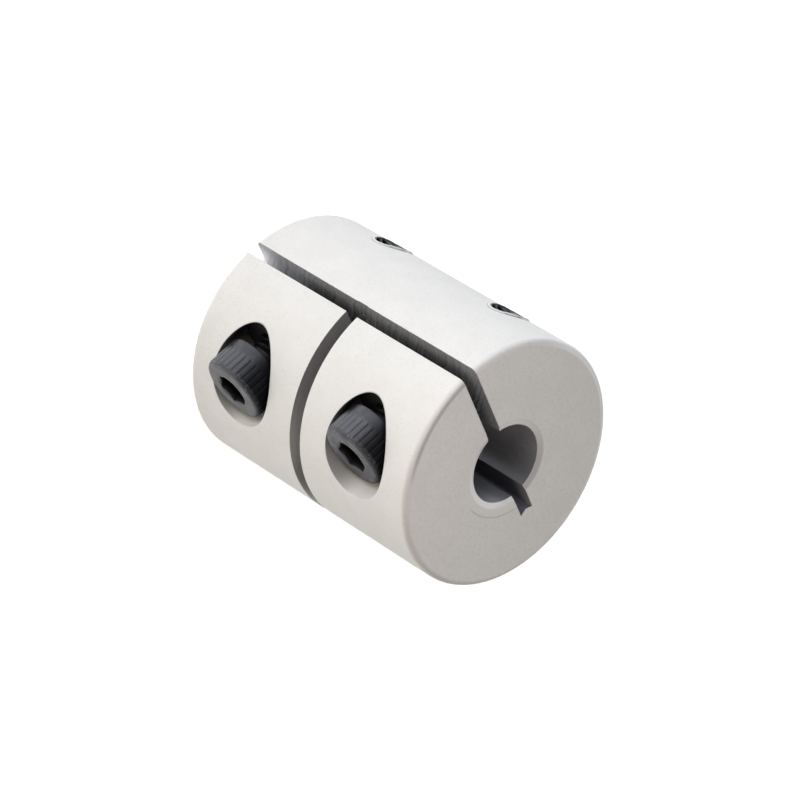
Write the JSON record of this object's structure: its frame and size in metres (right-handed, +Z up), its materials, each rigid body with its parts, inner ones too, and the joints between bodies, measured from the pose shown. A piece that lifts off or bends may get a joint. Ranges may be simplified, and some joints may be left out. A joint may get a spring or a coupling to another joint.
{
  "type": "rigid shaft coupling",
  "caption": "One-piece aluminium clamping coupling: a slit cylinder with a through bore, parted into jaws by a cross cut, closed on shafts by socket head cap screws.",
  "frame": {"origin": "middle of the lower end face, on the shaft axis", "axes": "+Z up along the shaft axis, -X towards the open side of the long slit, -Y the side that the screw heads are on"},
  "size_m": [0.02, 0.02, 0.025],
  "materials": {
    "body": "fine blasted and clear anodised, with bare saw-cut slit walls",
    "screw": "black oxide, satin"
  },
  "bodies": {
    "root": {"coupling_body": "body", "upper_clamp_screw": "screw", "lower_clamp_screw": "screw"}
  },
  "joints": []
}
